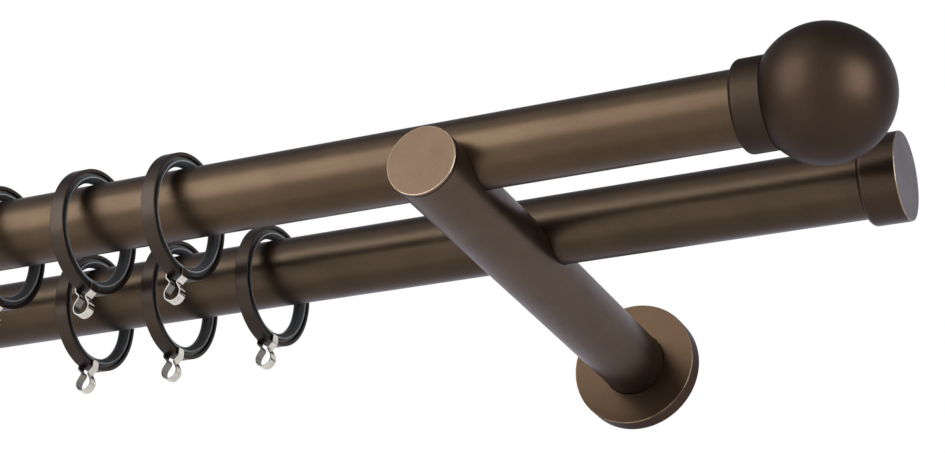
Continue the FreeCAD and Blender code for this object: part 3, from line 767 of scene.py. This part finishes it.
# Ring clips
# Spring strip, 4 x 0.55 mm, bent into an eye with straight sides and nickel plated. Its short
# legs reach over the ring's sides, and a peg inside each tab turns in the groove's floor.
STRIP = 0.55 * MM
STRIP_WIDTH = 4 * MM
STRIP_EDGE = 0.08 * MM
STRIP_CORNER = math.radians(60)
LEG = 3.575 * MM
LEG_BEND = 0.9 * MM
LEG_STEPS = 6
NECK_ACROSS = 2.63 * MM
NECK_BEND = 1 * MM
NECK_STEPS = 8
EYE_RADIUS = 3.5 * MM
EYE_HEIGHT = -32.9 * MM
EYE_STEPS = 32
TAB_TOP = -22.65 * MM
TAB_ROUNDING = 1.1 * MM
TAB_STEPS = 8
PEG_END = 1.2 * MM
FLARE = math.radians(45)
SIDE_LEAN = math.radians(32)
CROSS_STRIP = Vector((0, -1, 0))
FACES_INWARD = 0.5
FACES_SIDEWAYS = 0.7
NICKEL_CLOUDS = 300.0
NICKEL_FLECKS = 3000.0
NICKEL_GRAIN = 2400.0
NICKEL_RELIEF = 0.08
ALONG_STRIP = (1.0, 0.1, 1.0)
# Darker nickel for the faces inside the eye and legs and the strip's cut edges: painted shade.
NICKEL_PAINTED_SHADE = (0.19, 0.175, 0.16, 1)
DULL_ROUGHER = 0.16

nickel, nickel_tree, nickel_place = new_material("nickel_plate")
nickel_tone = in_group(nickel_tree, lacquer_tone, Vector=nickel_place,
                       Deep=(0.50, 0.46, 0.42, 1), Pale=(0.68, 0.64, 0.59, 1),
                       Cloud_Scale=NICKEL_CLOUDS, Fleck_Scale=NICKEL_FLECKS)
nickel_grain = in_group(nickel_tree, satin_grain, Vector=nickel_place, Stretch=ALONG_STRIP,
                        Scale=NICKEL_GRAIN, Low=0.08, High=0.17)
# Faces marked dull and shaded are a little rougher, and darker as painted shade.
nickel_dull_and_shaded = marked(nickel_tree, "dull_and_shaded")
nickel_shown = mixed(nickel_tree, nickel_dull_and_shaded, nickel_tone.outputs["Color"], NICKEL_PAINTED_SHADE)
nickel_rough = maths(nickel_tree, "ADD", nickel_grain.outputs["Roughness"],
                     maths(nickel_tree, "MULTIPLY", nickel_dull_and_shaded, DULL_ROUGHER))
feed_shader(nickel_tree, nickel_shown, nickel_rough, nickel_grain.outputs["Height"],
            NICKEL_RELIEF, metallic=1.0)

side_foot = Vector((EYE_RADIUS * math.cos(SIDE_LEAN), 0,
                    EYE_HEIGHT + EYE_RADIUS * math.sin(SIDE_LEAN)))
side_across = NECK_ACROSS - NECK_BEND * math.cos(SIDE_LEAN) - side_foot.x
eye_side = Vector((side_across, 0, -side_across / math.tan(SIDE_LEAN)))
neck_height = side_foot.z + eye_side.z + NECK_BEND * math.sin(SIDE_LEAN)
flare_start = Vector((NECK_ACROSS - NECK_BEND * math.sin(FLARE), 0,
                      neck_height + NECK_BEND * math.cos(FLARE)))
flare_across = LEG - LEG_BEND + LEG_BEND * math.sin(FLARE) - flare_start.x
flare = Vector((flare_across, 0, flare_across * math.tan(FLARE)))
bend_height = flare_start.z + flare.z + LEG_BEND * math.cos(FLARE)
leg_turn = QUARTER_TURN - FLARE
neck_turn = QUARTER_TURN - FLARE + SIDE_LEAN
eye_turn = QUARTER_TURN * 2 + SIDE_LEAN * 2

bpy.ops.object.select_all(action="DESELECT")
bpy.ops.mesh.primitive_plane_add(size=1, location=(LEG, 0, TAB_TOP))
strip = bpy.context.object
strip.name = "ring_strip"
bpy.ops.object.transform_apply(location=True, rotation=True, scale=True)
bpy.ops.object.mode_set(mode="EDIT")
bpy.ops.mesh.select_all(action="SELECT")
bpy.ops.transform.resize(value=(STRIP, STRIP_WIDTH, 1), center_override=(LEG, 0, TAB_TOP))


def straight(across, up):
    """Draws the strip's end straight on."""
    bpy.ops.mesh.extrude_region_move(TRANSFORM_OT_translate={"value": (across, 0, up)})


def bent(across, height, angle, steps):
    """Bends the strip's end round a former at this place."""
    bpy.ops.mesh.spin(steps=steps, angle=angle, center=(across, 0, height), axis=CROSS_STRIP)


straight(0, bend_height - TAB_TOP)
bent(LEG - LEG_BEND, bend_height, leg_turn, LEG_STEPS)
straight(-flare.x, -flare.z)
bent(NECK_ACROSS, neck_height, -neck_turn, NECK_STEPS)
straight(-eye_side.x, -eye_side.z)
bent(0, EYE_HEIGHT, eye_turn, EYE_STEPS)
straight(-eye_side.x, eye_side.z)
bent(-NECK_ACROSS, neck_height, -neck_turn, NECK_STEPS)
straight(-flare.x, flare.z)
bent(-LEG + LEG_BEND, bend_height, leg_turn, LEG_STEPS)
straight(0, TAB_TOP - bend_height)
pick(strip, "EDGE", lambda e: all(abs(v.co.z - TAB_TOP) < NEAR for v in e.verts)
     and abs(e.verts[0].co.y - e.verts[1].co.y) < NEAR)
bpy.ops.mesh.bevel(offset=TAB_ROUNDING, segments=TAB_STEPS, affect="EDGES")
pick(strip, "EDGE", lambda e: len(e.link_faces) == 2 and e.calc_face_angle() > STRIP_CORNER)
bpy.ops.mesh.bevel(offset=STRIP_EDGE, segments=EDGE_STEPS, affect="EDGES")
bpy.ops.mesh.select_all(action="SELECT")
bpy.ops.mesh.normals_make_consistent(inside=False)
# Marks the faces inside the eye and legs and the strip's cut edges, for rougher nickel with painted
# shade.
strip_mesh = bmesh.from_edit_mesh(strip.data)
dull_and_shaded_faces = strip_mesh.faces.layers.float.new("dull_and_shaded")
for face in strip_mesh.faces:
    middle = face.calc_center_median()
    upward = EYE_HEIGHT - middle.z if middle.z < EYE_HEIGHT + EYE_RADIUS else 0
    inward = Vector((-middle.x, 0, upward)).normalized()
    if face.normal.dot(inward) > FACES_INWARD or abs(face.normal.y) > FACES_SIDEWAYS:
        face[dull_and_shaded_faces] = 1.0
bmesh.update_edit_mesh(strip.data)
bpy.ops.object.mode_set(mode="OBJECT")
for end in (-1, 1):
    peg = turned("clip_peg", Vector((0, 0, -PEG_PLACE)), ALONG_POLE,
                 [(PEG_END * end, PEG_RADIUS), (LEG * end, PEG_RADIUS)], ring=False)
    peg.select_set(True)
    strip.select_set(True)
    bpy.context.view_layer.objects.active = strip
    bpy.ops.object.join()
for pole in POLES:
    for number in RING_NUMBERS:
        made = copied(strip, "%s_ring_strip_%d" % (pole, number), ring_place(pole, number))
        finish(made, "%s_ring_%d_clip" % (pole, number), "nickel", nickel,
               "%s_ring_clip_%d" % (pole, number))
bpy.data.objects.remove(strip)


# Studio
# A plain pale floor well below the pole, four large softboxes in front of it, and a white
# surround that the camera and the reflections see, dimmer overhead and to the sides for these.
OVERHEAD_BAND = (0.45, 0.85)
OVERHEAD_WHITENESS = 0.25
SIDE_BAND = (0.5, 0.85)
SIDE_WHITENESS = 0.35
SKY_COLOUR = (0.95, 0.97, 1.0, 1)
SKY_STRENGTH = 0.3
WHITE = (1, 1, 1, 1)
LIT_POINT = Vector((0.0, -0.14, 0.0))
LAMP_DISTANCE = 2.6
LAMP_COLOUR = (0.90, 0.96, 1.0)
FLOOR_HEIGHT = -4.0
FLOOR_SIZE = 400
FLOOR_WHITENESS = 0.7
FLOOR_ROUGHNESS = 0.9
FLOOR_CLOUDS = 1.5
FLOOR_FLECKS = 60.0

world = bpy.data.worlds.new("white_surround")
bpy.context.scene.world = world
world.use_nodes = True
air = world.node_tree
air.nodes.clear()
path = air.nodes.new("ShaderNodeLightPath")
seen = maths(air, "MAXIMUM", path.outputs["Is Camera Ray"], path.outputs["Is Glossy Ray"])
seen = maths(air, "MAXIMUM", seen, path.outputs["Is Transmission Ray"])
way = air.nodes.new("ShaderNodeTexCoord").outputs["Generated"]
parts_of_way = node(air, "ShaderNodeSeparateXYZ", None, Vector=way)
sideways = maths(air, "ABSOLUTE", parts_of_way.outputs["X"], 0.0)
overhead = remap(air, parts_of_way.outputs["Z"], OVERHEAD_BAND, 1.0, OVERHEAD_WHITENESS)
aside = remap(air, sideways, SIDE_BAND, 1.0, SIDE_WHITENESS)
dimmed = maths(air, "MINIMUM", overhead, aside)
dimmed = maths(air, "MAXIMUM", dimmed, path.outputs["Is Camera Ray"])
lighting = node(air, "ShaderNodeBackground", None, Color=SKY_COLOUR, Strength=SKY_STRENGTH)
backdrop = node(air, "ShaderNodeBackground", None, Color=WHITE, Strength=dimmed)
either = air.nodes.new("ShaderNodeMixShader")
feed(air, either.inputs[0], seen)
feed(air, either.inputs[1], lighting.outputs[0])
feed(air, either.inputs[2], backdrop.outputs[0])
sky = air.nodes.new("ShaderNodeOutputWorld")
feed(air, sky.inputs["Surface"], either.outputs[0])


def softbox(name, azimuth, elevation, width, height, power):
    """A soft rectangular lamp, aimed at the bracket from the given side and height."""
    turn, lift = math.radians(azimuth), math.radians(elevation)
    way = Vector((math.sin(turn) * math.cos(lift), -math.cos(turn) * math.cos(lift),
                  math.sin(lift)))
    lamp = bpy.data.lights.new(name, "AREA")
    lamp.shape = "RECTANGLE"
    lamp.size = width
    lamp.size_y = height
    lamp.energy = power
    lamp.color = LAMP_COLOUR
    box = bpy.data.objects.new(name, lamp)
    bpy.context.collection.objects.link(box)
    box.location = LIT_POINT + way * LAMP_DISTANCE
    box.rotation_mode = "QUATERNION"
    box.rotation_quaternion = (-way).to_track_quat("-Z", "Y")
    box.visible_camera = False


softbox("softbox_left", azimuth=-32, elevation=11, width=2.0, height=2.2, power=57)
softbox("softbox_high", azimuth=-32, elevation=52, width=2.0, height=1.3, power=6.5)
softbox("softbox_low", azimuth=-34, elevation=-36, width=2.0, height=2.4, power=10)
softbox("softbox_right", azimuth=68, elevation=3, width=1.7, height=1.9, power=65)

bpy.ops.object.select_all(action="DESELECT")
bpy.ops.mesh.primitive_plane_add(size=FLOOR_SIZE, location=(0, 0, FLOOR_HEIGHT))
floor = bpy.context.object
floor.name = "studio_floor"
floor_paint, floor_tree, floor_place = new_material("pale_floor")
floor_tone = in_group(floor_tree, lacquer_tone, Vector=floor_place, Deep=(0.78, 0.78, 0.78, 1),
                      Pale=(0.80, 0.80, 0.80, 1), Cloud_Scale=FLOOR_CLOUDS,
                      Fleck_Scale=FLOOR_FLECKS)
floor_shader = floor_tree.nodes["Principled BSDF"]
feed(floor_tree, floor_shader.inputs["Base Color"], floor_tone.outputs["Color"])
feed(floor_tree, floor_shader.inputs["Roughness"], FLOOR_ROUGHNESS)
floor_path = floor_tree.nodes.new("ShaderNodeLightPath")
floor_white = node(floor_tree, "ShaderNodeEmission", None, Color=WHITE, Strength=1.0)
floor_mix = floor_tree.nodes.new("ShaderNodeMixShader")
floor_seen = maths(floor_tree, "MULTIPLY", floor_path.outputs["Is Camera Ray"], FLOOR_WHITENESS)
floor_seen = maths(floor_tree, "MAXIMUM", floor_seen, floor_path.outputs["Is Glossy Ray"])
floor_seen = maths(floor_tree, "MAXIMUM", floor_seen, floor_path.outputs["Is Transmission Ray"])
feed(floor_tree, floor_mix.inputs[0], floor_seen)
feed(floor_tree, floor_mix.inputs[1], floor_shader.outputs[0])
feed(floor_tree, floor_mix.inputs[2], floor_white.outputs[0])
feed(floor_tree, floor_tree.nodes["Material Output"].inputs["Surface"], floor_mix.outputs[0])
floor.data.materials.append(floor_paint)


# Camera
# Below and in front of the right-hand end, looking up along the poles, as in the photograph.
# Its lens is given in pixels of the photograph, which is 945 of them wide.
CAMERA_PLACE = Vector((0.34027, -0.83196, -0.36063))
CAMERA_AZIMUTH = 27.17
CAMERA_ELEVATION = -25.41
CAMERA_ROLL = 3.39
SENSOR_WIDTH = 36.0
FOCAL_PIXELS = 2196.7
IMAGE_WIDTH = 945
NEAREST_SEEN = 0.01
FARTHEST_SEEN = 1000

camera_data = bpy.data.cameras.new("photo_camera")
camera_data.sensor_width = SENSOR_WIDTH
camera_data.lens = FOCAL_PIXELS * SENSOR_WIDTH / IMAGE_WIDTH
camera_data.clip_start = NEAREST_SEEN
camera_data.clip_end = FARTHEST_SEEN
camera = bpy.data.objects.new("photo_camera", camera_data)
bpy.context.collection.objects.link(camera)
look = Euler((math.radians(90 - CAMERA_ELEVATION), 0, math.radians(CAMERA_AZIMUTH)))
roll = Euler((0, 0, math.radians(CAMERA_ROLL)))
camera.rotation_mode = "QUATERNION"
camera.rotation_quaternion = look.to_quaternion() @ roll.to_quaternion()
camera.location = CAMERA_PLACE
bpy.context.scene.camera = camera
bpy.context.scene.view_settings.view_transform = "Standard"
